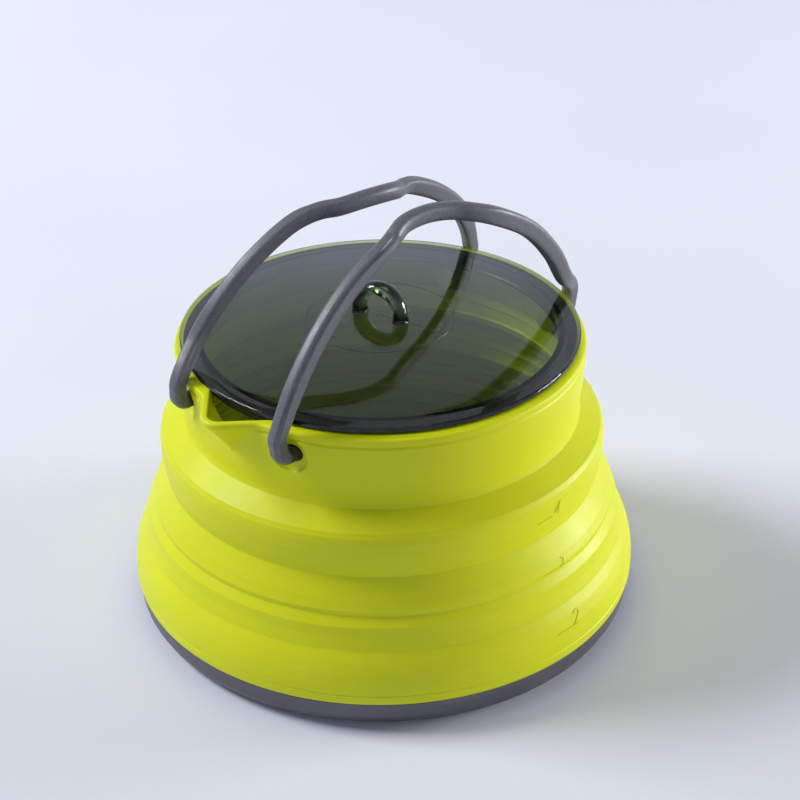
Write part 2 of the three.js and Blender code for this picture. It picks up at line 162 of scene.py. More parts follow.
# Strokes of each number, in shares of its width and height
NUMBER_SHARES = {
    "2": [[(0, 0.8), (0.2, 0.97), (0.5, 1), (0.85, 0.93), (0.95, 0.72), (0.7, 0.45), (0, 0), (1, 0)]],
    "3": [[(0, 0.93), (0.5, 1), (0.9, 0.85), (0.8, 0.6), (0.4, 0.52), (0.85, 0.45), (1, 0.22), (0.6, 0),
           (0, 0.07)]],
    "4": [[(1, 0.25), (0, 0.25), (0.75, 1), (0.75, 0)]],
}

# Facets: counts, lengths in millimetres and angles in degrees
TURN_STEPS = 192
CORNER_POINTS = 7
CORNER_SHARE = 0.48
SPLINE_STEPS = 30
HOLE_STEPS = 48
LOOP_SIDES = 28
LOOP_LEG_ROWS = 6
LOOP_ARCH_ROWS = 40
BAIL_SIDES = 44
BEND_ROWS = 13
DOME_ROWS = 40
UNDERSIDE_ROWS = 30
CIRCLE_POINTS = 97
GATE_POINTS = 25
WALL_STEP = 2.8
LID_STEP = 12.0
COARSE_ROW = 0.9
FINE_ROW = 0.28
INNER_ROW = 0.5
FINE_ANGLE = 0.3
COARSE_ANGLE = 2.0
FINE_SECTOR = 29.0
TINY = 1e-3
AXIS_RADIUS = 0.01
# Edges that turn by more degrees than this stay crisp
CRISP = {"pan": 32, "collar": 38, "lid": 50, "seal": 35, "bail": 55, "mark": 30}

# Looks. colours: two as seen on screen, mixed by noise of patches (scale, detail). rough: a range, mixed
# by noise of smudges (scale), drawn out by stretch. grain: (scale, strength, depth in metres).
# Scales are per metre. Noise runs between the two ends of NOISE_RANGE.
NOISE_RANGE = (0.35, 0.65)
SMUDGE_DETAIL = 3
GRAIN_DETAIL = 2
LIME = {
    "colours": ((210, 216, 6), (216, 222, 12)), "patches": (14, 4), "rough": (0.42, 0.5), "smudges": 60,
    "grain": (1800, 0.12, 0.00012),
    "sockets": {"Specular IOR Level": 0.3, "Subsurface Weight": 0.12, "Subsurface Radius": (1.0, 0.9, 0.15),
                "Subsurface Scale": 0.004},
}
ANODISED = {
    "colours": ((99, 97, 103), (107, 105, 111)), "patches": (30, 4), "rough": (0.42, 0.52), "smudges": 220,
    "stretch": (1, 1, 6), "grain": (2600, 0.1, 0.00006), "sockets": {"Metallic": 0.55},
}
GREY = {
    "colours": ((86, 86, 93), (102, 102, 110)), "patches": (1700, 2), "rough": (0.36, 0.46), "smudges": 300,
    "grain": (1900, 0.35, 0.00012),
}
# Painted shade: the colour of the bails' pins where they sit in the eyes
PIN_SHADE_PAINT = {"colours": ((24, 24, 27), (34, 34, 38)), "patches": (160, 3)}
# Painted shade on the pins in the eyes: the bails turn from dark to grey beyond this distance from the middle
# or above this height, over this length
PIN_SHADE_EDGES = {"beyond": 67.2, "above": 97.5, "beyond_over": 1.6, "above_over": 1.0}
RUBBER = {
    "colours": ((27, 27, 32), (30, 30, 36)), "patches": (60, 3), "rough": (0.5, 0.6), "smudges": 240,
    "grain": (900, 0.03, 0.00002),
}
RIM_LIME = {**RUBBER, "colours": ((158, 166, 14), (175, 184, 16)), "rough": (0.45, 0.55)}
# Painted shade: the engraved lines on the lid are near black for the shade in their grooves
ENGRAVED_LINE_SHADE = {**RUBBER, "colours": ((24, 26, 22), (27, 29, 25)), "rough": (0.25, 0.35)}
SMOKE = {
    "colours": ((236, 238, 230), (240, 242, 234)), "patches": (9, 2), "rough": (0.01, 0.03), "smudges": 25,
    "grain": (40, 0.02, 0.0002), "sockets": {"Transmission Weight": 1.0, "IOR": 1.5},
}
SMOKE_BODY = {"Color": (0.25, 0.36, 0.13, 1), "Density": 400}
# Painted light on the floor: darker near the camera and paler away from it, standing in for the lamps'
# fall-off
PAPER_NEAR_SHADED = {"colours": ((213, 214, 225), (217, 218, 229)), "patches": (3, 2)}
PAPER_FAR_LIT = {"colours": ((238, 240, 251), (242, 244, 255)), "patches": (3, 2)}
PAPER = {"size": 7.0, "drop": 0.0002, "near": -0.3, "far": 0.7, "rough": 0.9, "gloss": 0.1}

# Lamps: (name, place seen from the camera as (right, forward, up) in metres, width and height, watts, colour)
LAMPS = [
    ("key_left", (-1.65, 0.28, 1.6), (0.8, 0.8), 42.0, (0.96, 0.98, 1.0)),
    ("soft_right", (1.3, 0.22, 0.25), (0.5, 0.4), 15.0, (1.0, 0.99, 0.96)),
    ("overhead", (0.0, 0.1, 1.4), (0.6, 0.6), 2.6, (1.0, 0.99, 0.97)),
    ("front_fill", (0.3, -1.4, 0.9), (0.9, 0.9), 0.5, (1.0, 0.99, 0.97)),
]
LAMPS_AIM = (0, 0, 0.06)
# The studio has a pale sweep low down and is dim overhead: strength by the height of the direction
SKY_COLOUR = (222, 228, 250)
SKY_LIT = {"From Min": 0.5, "From Max": 0.64, "To Min": 0.56, "To Max": 0.12}
SKY_MIRRORED = {"From Min": 0.3, "From Max": 0.95, "To Min": 1.0, "To Max": 0.1}

# Camera, fitted to the photograph
CAMERA = {"at": (379.26, 390.0, 394.4), "forward": (-0.60847, -0.61081, -0.50664),
          "up": (-0.36496, -0.35152, 0.86211), "lens": 79.245, "sensor": 36.0, "clip": (0.01, 20.0)}


# Outlines

def clamped(value):
    """A value kept between 0 and 1."""
    return min(max(value, 0), 1)


def split(start, end, count):
    """The points that cut a straight line into equal parts, its start left out."""
    return [start + (end - start) * k / count for k in range(1, count + 1)]


def round_corner(before, here, after, radius):
    """The points that round one corner of a polyline."""
    a, b = before - here, after - here
    length_a, length_b = np.linalg.norm(a), np.linalg.norm(b)
    a, b = a / length_a, b / length_b
    half = math.acos(max(-1.0, min(1.0, float(a @ b)))) / 2
    reach = min(radius / max(math.tan(half), TINY), CORNER_SHARE * min(length_a, length_b))
    if reach < TINY or half > QUARTER - TINY:
        return [here]
    start, end = here + a * reach, here + b * reach
    shares = np.linspace(0, 1, CORNER_POINTS)
    return [(1 - t) ** 2 * start + 2 * t * (1 - t) * here + t * t * end for t in shares]


def rounded(outline, longest=WALL_STEP):
    """An outline as a polyline of (radius, height) with round corners, in steps no longer than this."""
    corners = [np.array(point[:2], float) for point in outline]
    line = [corners[0]]
    for i in range(1, len(corners) - 1):
        line += round_corner(corners[i - 1], corners[i], corners[i + 1], outline[i][2])
    line.append(corners[-1])
    dense = [line[0]]
    for point in line[1:]:
        gap = np.linalg.norm(point - dense[-1])
        if gap > TINY / 10:
            dense += split(dense[-1], point, math.ceil(gap / longest))
    return np.array(dense)


def inside_outline():
    """The wall's inside in even steps, with its ridges."""
    outline = rounded(INSIDE)
    z = np.arange(outline[0, 1], outline[-1, 1], FINE_ROW)
    r = np.interp(z, outline[:, 1], outline[:, 0])
    for height, reach, half_width in INSIDE_RIDGES:
        r -= reach * np.exp(-((z - height) / half_width) ** 2)
    return np.c_[r, z]


def cut(outline, low, high):
    """The stretch of an outline between two heights, with its ends exactly there."""
    z = outline[:, 1]
    r_low, r_high = np.interp([low, high], z, outline[:, 0])
    middle = outline[(z > low + TINY) & (z < high - TINY)]
    return np.vstack([[r_low, low], middle, [r_high, high]])


def outline_normals(whole, part, sign):
    """Smooth outward normals of a stretch, taken on the whole outline so that neighbours match."""
    along = np.gradient(whole, axis=0)
    normals = np.c_[along[:, 1], -along[:, 0]] * sign
    normals /= np.linalg.norm(normals, axis=1)[:, None]
    there = np.stack([np.interp(part[:, 1], whole[:, 1], normals[:, k]) for k in (0, 1)], axis=1)
    return there / np.linalg.norm(there, axis=1)[:, None]


# Meshes

def new_mesh(name, verts, faces):
    """A smooth object from faces and from vertices in millimetres."""
    mesh = bpy.data.meshes.new(name)
    places = [tuple(v) for v in np.asarray(verts) * MM]
    mesh.from_pydata(places, [], [tuple(int(i) for i in face) for face in faces])
    mesh.validate()
    mesh.update()
    mesh.shade_smooth()
    obj = bpy.data.objects.new(name, mesh)
    bpy.context.scene.collection.objects.link(obj)
    return obj


def sharpen(obj, degrees):
    """Edges that turn more than this stay crisp."""
    obj.data.set_sharp_from_angle(angle=math.radians(degrees))


def combine(obj, other, operation):
    """Joins another closed mesh to this one, or cuts it out, and takes the other away."""
    boolean = obj.modifiers.new("combine", "BOOLEAN")
    boolean.operation = operation
    boolean.solver = "MANIFOLD"
    boolean.object = other
    graph = bpy.context.evaluated_depsgraph_get()
    result = bpy.data.meshes.new_from_object(obj.evaluated_get(graph))
    obj.modifiers.clear()
    old = obj.data
    obj.data = result
    bpy.data.meshes.remove(old)
    bpy.data.objects.remove(other)
    obj.data.shade_smooth()


def circle_angles(steps):
    """Even angles round a full turn."""
    return np.arange(steps) * FULL / steps


def grid_faces(rows, columns):
    """The faces of a closed grid whose rows and columns both run round."""
    faces = []
    for j in range(rows):
        k = (j + 1) % rows
        for i in range(columns):
            n = (i + 1) % columns
            faces.append((j * columns + i, j * columns + n, k * columns + n, k * columns + i))
    return faces


def bar_faces(rows, sides):
    """The faces of a closed bar with an end face at either end."""
    faces = []
    for i in range(rows - 1):
        for k in range(sides):
            n = (k + 1) % sides
            faces.append((i * sides + k, i * sides + n, (i + 1) * sides + n, (i + 1) * sides + k))
    end = (rows - 1) * sides
    faces.append(tuple(range(sides))[::-1])
    faces.append(tuple(end + k for k in range(sides)))
    return faces


def turned(name, outline):
    """A closed outline, up its outside and down its inside, turned round Z."""
    angles = circle_angles(TURN_STEPS)
    rings = [np.c_[r * np.cos(angles), r * np.sin(angles), np.full(TURN_STEPS, z)] for r, z in outline]
    return new_mesh(name, np.vstack(rings), grid_faces(len(outline), TURN_STEPS))


def merge_axis(obj):
    """Joins the vertices that meet on the axis."""
    mesh = bmesh.new()
    mesh.from_mesh(obj.data)
    bmesh.ops.remove_doubles(mesh, verts=mesh.verts, dist=TINY * MM)
    bmesh.ops.dissolve_degenerate(mesh, edges=mesh.edges, dist=TINY * MM / 10)
    mesh.to_mesh(obj.data)
    mesh.free()
    obj.data.update()


def lengths(line):
    """How far each point of a polyline lies along it."""
    return np.concatenate([[0], np.cumsum(np.linalg.norm(np.diff(line, axis=0), axis=1))])


def evenly(line, count):
    """A polyline cut anew at this many even points."""
    along = lengths(line)
    even = np.linspace(0, along[-1], count)
    return np.stack([np.interp(even, along, line[:, k]) for k in range(line.shape[1])], axis=1)


def catmull_rom(points, spacing):
    """A centripetal curve through the points, at an even spacing."""
    p = np.array(points, float)
    p = np.vstack([2 * p[0] - p[1], p, 2 * p[-1] - p[-2]])
    stretches = []
    for i in range(1, len(p) - 2):
        q = p[i - 1:i + 3]
        t = np.concatenate([[0], np.cumsum(np.sqrt(np.linalg.norm(np.diff(q, axis=0), axis=1)))])
        u = np.linspace(t[1], t[2], SPLINE_STEPS, endpoint=False)[:, None]
        a = [((t[k + 1] - u) * q[k] + (u - t[k]) * q[k + 1]) / (t[k + 1] - t[k]) for k in range(3)]
        b = [((t[k + 2] - u) * a[k] + (u - t[k]) * a[k + 1]) / (t[k + 2] - t[k]) for k in range(2)]
        stretches.append(((t[2] - u) * b[0] + (u - t[1]) * b[1]) / (t[2] - t[1]))
    stretches.append(p[-2][None, :])
    line = np.vstack(stretches)
    return evenly(line, int(lengths(line)[-1] / spacing) + 1)


def directions(line):
    """The direction of a polyline at each of its points."""
    along = np.gradient(line, axis=0)
    return along / np.linalg.norm(along, axis=1)[:, None]


def swept(path, normal, section, sides):
    """A closed bar along a path near one plane. section(i, angle) gives its two half widths."""
    tangent = directions(path)
    side = np.cross(normal, tangent)
    side /= np.linalg.norm(side, axis=1)[:, None]
    across = np.cross(tangent, side)
    verts = []
    for i, p in enumerate(path):
        for k in range(sides):
            a, b = section(i, FULL * (k + 0.5) / sides)
            verts.append(p + side[i] * a + across[i] * b)
    return np.array(verts), bar_faces(len(path), sides)


# Materials

def srgb(colour):
    """A colour as seen on screen, 0 to 255, as a linear one."""
    out = []
    for c in colour:
        c /= 255
        out.append(c / 12.92 if c <= 0.04045 else ((c + 0.055) / 1.055) ** 2.4)
    return (*out, 1.0)


def material(name):
    """A new material, with its node tree and its shader."""
    mat = bpy.data.materials.new(name)
    mat.use_nodes = True
    tree = mat.node_tree
    bsdf = next(n for n in tree.nodes if n.type == "BSDF_PRINCIPLED")
    return mat, tree, bsdf


def node(tree, kind, inputs=None, **settings):
    """A new node with its settings and the values of its sockets."""
    made = tree.nodes.new(kind)
    for key, value in settings.items():
        setattr(made, key, value)
    for key, value in (inputs or {}).items():
        made.inputs[key].default_value = value
    return made


def colour_mix(tree):
    """A colour mix node, with its two colours and its result."""
    mix = node(tree, "ShaderNodeMix", data_type="RGBA")
    first, second = [i for i in mix.inputs if i.type == "RGBA"]
    return mix, first, second, next(o for o in mix.outputs if o.type == "RGBA")


def object_noise(tree, scale, detail, stretch=None):
    """Noise in the object's own coordinates."""
    place = node(tree, "ShaderNodeTexCoord")
    noise = node(tree, "ShaderNodeTexNoise", {"Scale": scale, "Detail": detail})
    source = place.outputs["Object"]
    if stretch:
        mapping = node(tree, "ShaderNodeMapping", {"Scale": stretch})
        tree.links.new(source, mapping.inputs["Vector"])
        source = mapping.outputs["Vector"]
    tree.links.new(source, noise.inputs["Vector"])
    return noise


def patched(tree, look, target):
    """Runs a colour socket between a look's two colours by noise."""
    ramp = node(tree, "ShaderNodeValToRGB")
    for stop, position, colour in zip(ramp.color_ramp.elements, NOISE_RANGE, look["colours"]):
        stop.position = position
        stop.color = srgb(colour)
    tree.links.new(object_noise(tree, *look["patches"]).outputs["Fac"], ramp.inputs["Fac"])
    tree.links.new(ramp.outputs["Color"], target)


def surfaced(tree, bsdf, look):
    """Gives a shader a look's roughness, grain and plain values."""
    low, high = look["rough"]
    start, end = NOISE_RANGE
    ends = {"From Min": start, "From Max": end, "To Min": low, "To Max": high}
    spread = node(tree, "ShaderNodeMapRange", ends)
    smudges = object_noise(tree, look["smudges"], SMUDGE_DETAIL, look.get("stretch"))
    tree.links.new(smudges.outputs["Fac"], spread.inputs["Value"])
    tree.links.new(spread.outputs["Result"], bsdf.inputs["Roughness"])
    scale, strength, depth = look["grain"]
    bump = node(tree, "ShaderNodeBump", {"Strength": strength, "Distance": depth})
    tree.links.new(object_noise(tree, scale, GRAIN_DETAIL).outputs["Fac"], bump.inputs["Height"])
    tree.links.new(bump.outputs["Normal"], bsdf.inputs["Normal"])
    for socket, value in look.get("sockets", {}).items():
        bsdf.inputs[socket].default_value = value


def plain(name, look):
    """A material of one look."""
    mat, tree, bsdf = material(name)
    patched(tree, look, bsdf.inputs["Base Color"])
    surfaced(tree, bsdf, look)
    return mat


def grey_nylon():
    """Grained grey, with painted shade: the pins, near the eyes and low down, are darker."""
    mat, tree, bsdf = material("bail_grey")
    mix, dark, light, mixed = colour_mix(tree)
    patched(tree, PIN_SHADE_PAINT, dark)
    patched(tree, GREY, light)
    place = node(tree, "ShaderNodeTexCoord")
    split_place = node(tree, "ShaderNodeSeparateXYZ")
    distance = node(tree, "ShaderNodeMath", operation="ABSOLUTE")
    either = node(tree, "ShaderNodeMath", operation="MAXIMUM")
    tree.links.new(place.outputs["Object"], split_place.inputs["Vector"])
    tree.links.new(split_place.outputs["X"], distance.inputs[0])
    for k, source, edge in ((0, distance.outputs[0], "beyond"), (1, split_place.outputs["Z"], "above")):
        start = PIN_SHADE_EDGES[edge] * MM
        end = start + PIN_SHADE_EDGES[edge + "_over"] * MM
        spread = node(tree, "ShaderNodeMapRange", {"From Min": start, "From Max": end})
        tree.links.new(source, spread.inputs["Value"])
        tree.links.new(spread.outputs["Result"], either.inputs[k])
    tree.links.new(either.outputs[0], mix.inputs["Factor"])
    tree.links.new(mixed, bsdf.inputs["Base Color"])
    surfaced(tree, bsdf, GREY)
    return mat


def smoked():
    """Smoke-tinted clear plastic: the body of it absorbs light, and lamps shine through it."""
    mat = plain("lid_smoke", SMOKE)
    tree = mat.node_tree
    bsdf = next(n for n in tree.nodes if n.type == "BSDF_PRINCIPLED")
    output = next(n for n in tree.nodes if n.type == "OUTPUT_MATERIAL")
    absorb = node(tree, "ShaderNodeVolumeAbsorption", SMOKE_BODY)
    tree.links.new(absorb.outputs["Volume"], output.inputs["Volume"])
    rays = node(tree, "ShaderNodeLightPath")
    clear = node(tree, "ShaderNodeBsdfTransparent")
    mix = node(tree, "ShaderNodeMixShader")
    tree.links.new(rays.outputs["Is Shadow Ray"], mix.inputs["Fac"])
    tree.links.new(bsdf.outputs["BSDF"], mix.inputs[1])
    tree.links.new(clear.outputs["BSDF"], mix.inputs[2])
    tree.links.new(mix.outputs["Shader"], output.inputs["Surface"])
    return mat


def use(obj, mat):
    """Gives a piece its material."""
    obj.data.materials.clear()
    obj.data.materials.append(mat)


# Silicone wall

def wall_piece(name, outside, inside, low, high):
    """A stretch of the silicone wall between two seams, with normals that run on into its neighbours."""
    outer = cut(outside, low[0], high[0])
    inner = cut(inside, low[1], high[1])[::-1]
    rings = np.vstack([outer, inner])
    normals = np.vstack([outline_normals(outside, outer, 1), outline_normals(inside, inner, -1)])
    obj = turned(name, rings)
    angles = circle_angles(TURN_STEPS)
    c, s = np.cos(angles), np.sin(angles)
    around = np.vstack([np.c_[n[0] * c, n[0] * s, np.full(TURN_STEPS, n[1])] for n in normals])
    loops = np.zeros(len(obj.data.loops), int)
    obj.data.loops.foreach_get("vertex_index", loops)
    custom = around[loops]
    corners_per_row = 4 * TURN_STEPS
    for row, up in ((len(outer) - 1, 1.0), (len(rings) - 1, -1.0)):
        custom[row * corners_per_row:(row + 1) * corners_per_row] = (0, 0, up)
    obj.data.normals_split_custom_set(custom.tolist())
    return obj


def make_wall(mat):
    """The foot, the rings and the fold walls below the collar."""
    outside, inside = rounded(WALL), inside_outline()
    plan = [
        ("wall_foot", FOOT_BOTTOM, LOWER_FOLD[0], ["base"], "foot_band"),
        ("wall_lower_fold", *LOWER_FOLD, ["base", "lower_wall"], "lower_web"),
        ("wall_lower_ring", LOWER_FOLD[1], MIDDLE_FOLD[0], ["lower_wall"], "lower_ring"),
        ("wall_middle_fold", *MIDDLE_FOLD, ["lower_wall", "upper_wall"], "middle_web"),
        ("wall_upper_ring", MIDDLE_FOLD[1], UPPER_FOLD[0], ["upper_wall"], "upper_ring"),
        ("wall_upper_fold", *UPPER_FOLD, ["upper_wall", "top"], "upper_web"),
    ]
    for name, low, high, bodies, stands_for in plan:
        obj = wall_piece(name, outside, inside, low, high)
        use(obj, mat)
        if len(bodies) == 1:
            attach(obj, bodies[0])
        else:
            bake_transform(obj)
        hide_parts(stands_for)


# Collar, spout and eyes

def spout_reach(angle, height, apex, shift):
    """How far the spout's outline lies from the axis in a direction, at a height. shift moves it inwards."""
    low_x, low_z = apex
    t = clamped((height - low_z) / (SPOUT["lip_bottom"] - low_z))
    radius = (SPOUT["round"] - shift) * t
    centre = low_x * (1 - t) + (SPOUT["tip"] - SPOUT["round"]) * t
    turn = abs(angle)
    tangent = math.atan2(radius * math.sqrt(0.5), centre + radius * math.sqrt(0.5))
    if turn < tangent:
        return centre * math.cos(turn) + math.sqrt(max(radius ** 2 - (centre * math.sin(turn)) ** 2, 0))
    flank = centre + radius * math.sqrt(2)
    return flank / (math.cos(turn) + math.sin(turn))


def with_spout(wall, angle, height, apex, shift):
    """The wall's radius, or the spout's where that reaches further, with a fillet where they cross."""
    if abs(angle) > SPOUT["half_sector"] or height < apex[1]:
        return wall
    reach = spout_reach(angle - SPOUT["turn"], height, apex, shift)
    blend = SPOUT["blend"]
    near = max(blend - abs(wall - reach), 0) / blend
    return max(wall, reach) + near ** 2 * blend / 4


def dish_depth(angle, height, radius):
    """How deep the dish round the nearest eye is at a point of the collar."""
    x, y = radius * math.cos(angle), radius * math.sin(angle)
    eye_x = math.sqrt(radius ** 2 - EYE["across"] ** 2)
    away = math.sqrt((abs(x) - eye_x) ** 2 + (abs(y) - EYE["across"]) ** 2 + (height - EYE["height"]) ** 2)
    bowl = max(1 - (away / EYE["dish"]) ** 2, 0)
    return EYE["depth"] * bowl ** EYE["edge_power"]


def collar_angles():
    """Directions round the collar, closer together at the spout and the eyes, from -180 to 180 degrees."""
    near = math.radians(FINE_SECTOR)
    front = np.arange(-near, near, math.radians(FINE_ANGLE))
    side = np.arange(near, math.pi - near, math.radians(COARSE_ANGLE))
    angles = np.concatenate([front, side, math.pi + front, math.pi + side])
    return angles, (angles + math.pi) % FULL - math.pi


def collar_rows(outside, inside):
    """Up the collar's outside, over its rim and down its inside: (side, height, radius or inset, lift)."""
    low_out, low_in = UPPER_FOLD[1]
    top, edge, bead = COLLAR["rim_top"] - COLLAR["rim_round"], COLLAR["rim_round"], COLLAR["bead_inner"]
    rows = []
    coarse = np.arange(low_out, COLLAR["fine_out"], COARSE_ROW)
    fine = np.arange(COLLAR["fine_out"], top, FINE_ROW)
    for z in (*coarse, *fine):
        rows.append(("out", z, 0.0, 0.0))
    quarter_turn = np.linspace(0, QUARTER, CORNER_POINTS)
    for turn in quarter_turn:
        rows.append(("out", top, edge * (1 - math.cos(turn)), edge * math.sin(turn)))
    for turn in quarter_turn[::-1]:
        rows.append(("in", top, bead + edge * (1 - math.cos(turn)), edge * math.sin(turn)))
    rows.append(("in", COLLAR["bead_bottom"], bead, 0.0))
    thick_band = np.arange(COLLAR["bead_bottom"], COLLAR["fine_in"], -INNER_ROW)
    for z in (*thick_band, COLLAR["below_fine"], COLLAR["step"]):
        rows.append(("in", z, COLLAR["inner"], 0.0))
    ridges = np.arange(COLLAR["ridges_top"], low_in, -FINE_ROW)
    for z in (COLLAR["step"] - COLLAR["step_round"], COLLAR["below_step"], *ridges, low_in):
        rows.append(("in", z, float(np.interp(z, inside[:, 1], inside[:, 0])), 0.0))
    return rows


def collar_point(row, angle, signed, outside):
    """A point of the collar on one row in one direction."""
    side, z, radius, lift = row
    if side == "out":
        wall = float(np.interp(z, outside[:, 1], outside[:, 0]))
        r = with_spout(wall, signed, z, SPOUT["keel"], 0) - dish_depth(signed, z, wall) - radius
    else:
        inset = radius - COLLAR["bead_inner"] if lift else 0.0
        r = with_spout(radius - inset, signed, z, SPOUT["channel"], SPOUT["wall"]) + inset
    out_share = clamped((r - SPOUT["droop_radius"]) / SPOUT["droop_over"])
    up_share = clamped((z - SPOUT["droop_height"]) / SPOUT["droop_over"])
    return r * math.cos(angle), r * math.sin(angle), z + lift - SPOUT["droop"] * out_share * up_share


def cut_hole(obj, side, across):
    """Bores a pin hole along X."""
    ring = [(EYE["hole"] * math.cos(a), EYE["hole"] * math.sin(a)) for a in circle_angles(HOLE_STEPS)]
    verts = [(side * x, across + y, EYE["height"] + z) for x in EYE["bore"] for y, z in ring]
    faces = bar_faces(2, HOLE_STEPS)
    if side < 0:
        faces = [face[::-1] for face in faces]
    combine(obj, new_mesh("cutter", verts, faces), "DIFFERENCE")


def make_collar(mat):
    outside, inside = rounded(WALL), inside_outline()
    rows = collar_rows(outside, inside)
    angles, signed = collar_angles()
    verts = [collar_point(row, a, s, outside) for row in rows for a, s in zip(angles, signed)]
    obj = new_mesh("collar_wall", verts, grid_faces(len(rows), len(angles)))
    for side in (1, -1):
        for across in (1, -1):
            cut_hole(obj, side, across * EYE["across"])
    sharpen(obj, CRISP["collar"])
    use(obj, mat)
    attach(obj, "top")
    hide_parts("collar")


# Pan, lid and seal

def make_pan(mat):
    obj = turned("pan", rounded(PAN))
    sharpen(obj, CRISP["pan"])
    use(obj, mat)
    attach(obj, "base")
    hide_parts("base_pan")


def lid_height(radius):
    """Height of the lid's top face."""
    share = min(radius / LID["dome_edge"], 1)
    return LID["dome_top"] - (LID["dome_top"] - LID["flange_top"]) * share ** 2


def lid_underside(radius):
    """Height of the dome's lower face."""
    top = LID["dome_top"] - LID["wall"]
    return top - (top - LID["flange_bottom"]) * (radius / LID["skirt_inner"]) ** 2


def lid_outline():
    """Out along the underside, round the skirt and the flange, and back in over the dome."""
    under = [(r, lid_underside(r), 0) for r in np.linspace(LID["skirt_inner"], AXIS_RADIUS, UNDERSIDE_ROWS)]
    top = [(r, lid_height(r), 0) for r in np.linspace(AXIS_RADIUS, LID["dome_edge"], DOME_ROWS)]
    return [
        *under[::-1],
        (LID["skirt_inner"], LID["skirt_bottom"], LID["skirt_round"]),
        (LID["skirt_outer"], LID["skirt_bottom"], LID["skirt_round"]),
        (LID["skirt_outer"], LID["flange_bottom"], LID["corner_round"]),
        (LID["radius"], LID["flange_bottom"], LID["flange_round"]),
        (LID["radius"], LID["flange_top"], LID["edge_round"]),
        *top[::-1],
    ]


def make_loop():
    """The half-round loop, with feet that flare into the dome."""
    radius, half = LOOP["outer"] - LOOP["thick"] / 2, LOOP["thick"] / 2
    centre = LOOP["top"] - LOOP["outer"]
    leg = np.linspace(LID["dome_top"] - LOOP["root"], centre, LOOP_LEG_ROWS)
    arch = np.linspace(0, math.pi, LOOP_ARCH_ROWS)
    path = [(radius, 0, z) for z in leg[:-1]]
    path += [(radius * math.cos(a), 0, centre + radius * math.sin(a)) for a in arch]
    path += [(-radius, 0, z) for z in leg[::-1][1:]]

    def section(i, angle):
        height = path[i][2]
        rise = max(0.0, 1 - (height - LID["dome_top"]) / LOOP["flare_height"]) if height < centre else 0.0
        flare = 1 + LOOP["flare_share"] * min(rise, LOOP["flare_most"]) ** 2
        return half * flare * math.cos(angle), half * LOOP["broad_share"] * flare * math.sin(angle)

    verts, faces = swept(np.array(path), np.array([0, 1.0, 0]), section, LOOP_SIDES)
    c, s = math.cos(LOOP["turn"]), math.sin(LOOP["turn"])
    spun = np.c_[verts[:, 0] * c - verts[:, 1] * s, verts[:, 0] * s + verts[:, 1] * c, verts[:, 2]]
    return new_mesh("lid_loop", spun, faces)


def make_lid(mat):
    obj = turned("lid_dome", rounded(lid_outline(), LID_STEP))
    merge_axis(obj)
    combine(obj, make_loop(), "UNION")
    sharpen(obj, CRISP["lid"])
    use(obj, mat)
    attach(obj, "lid")
    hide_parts("lid")


def lid_line(points):
    """A fine line on the lid's face, through points in the XY plane."""
    line = np.array(points, float)
    path = evenly(line, max(LID_LINE["fewest"], int(lengths(line)[-1] / LID_LINE["spacing"])))
    tangent = directions(path)
    side = np.c_[-tangent[:, 1], tangent[:, 0]] * LID_LINE["width"] / 2
    edge, sunk, peak = LID_LINE["edge"], LID_LINE["sunk"], LID_LINE["peak"]
    verts = []
    for p, s in zip(path, side):
        for q, up in ((p - s, edge), (p, -sunk), (p + s, edge), (p, peak)):
            verts.append((*q, lid_height(math.hypot(*q)) + up))
    return verts, bar_faces(len(path), 4)


def joined(parts):
    """One list of vertices and one of faces, from several."""
    verts, faces = [], []
    for some_verts, some_faces in parts:
        faces += [tuple(i + len(verts) for i in face) for face in some_faces]
        verts += some_verts
    return verts, faces


def ring_points(radius, count):
    return [(radius * math.cos(a), radius * math.sin(a)) for a in np.linspace(0, FULL, count)]


def make_lid_lines(mat):
    """A circle and a gate mark round the loop's middle, and a parting line between them, near black: painted
    shade of the engraved grooves.
    """
    c, s = math.cos(LOOP["turn"]), math.sin(LOOP["turn"])
    parting = [(r * c, r * s) for r in (LID_LINE["parting_from"], LID_LINE["circle"])]
    circle = ring_points(LID_LINE["circle"], CIRCLE_POINTS)
    gate = ring_points(LID_LINE["gate"], GATE_POINTS)
    obj = new_mesh("lid_lines", *joined(lid_line(line) for line in (circle, parting, gate)))
    use(obj, mat)
    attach(obj, "lid")


def make_seal(mat):
    obj = turned("seal", rounded(SEAL))
    sharpen(obj, CRISP["seal"])
    use(obj, mat)
    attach(obj, "lid")
    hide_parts("lid_seal")


# Bail handles

def bail_path():
    """From pin to pin, and how many of its first rows lie on the pin."""
    knots = catmull_rom(BAIL_POINTS, BAIL["spacing"])
    pin_top = BAIL["leg"] - BAIL["bend"]
    turns = np.linspace(0, QUARTER, BEND_ROWS)[:-1]
    bend = [(pin_top + BAIL["bend"] * math.sin(a), BAIL["bend"] * (1 - math.cos(a)), 0) for a in turns]
    start = np.array([(x, 0, 0) for x in BAIL["pin_rows"]] + bend)
    return np.vstack([start, knots, (start * [-1, 1, 1])[::-1]]), len(BAIL["pin_rows"])


def leg_relief(across):
    """The groove, the ridge and the lip of a leg's face, at a distance from its middle line."""
    groove_at, groove_width, groove = LEG_GROOVE
    ridge_at, ridge_width, ridge = LEG_RIDGE
    lip_at, lip_width, lip = LEG_LIP
    return (groove * math.exp(-((across + groove_at) / groove_width) ** 2)
            + lip / (1 + math.exp((across + lip_at) / lip_width))
            - ridge * math.exp(-((across + ridge_at) / ridge_width) ** 2))


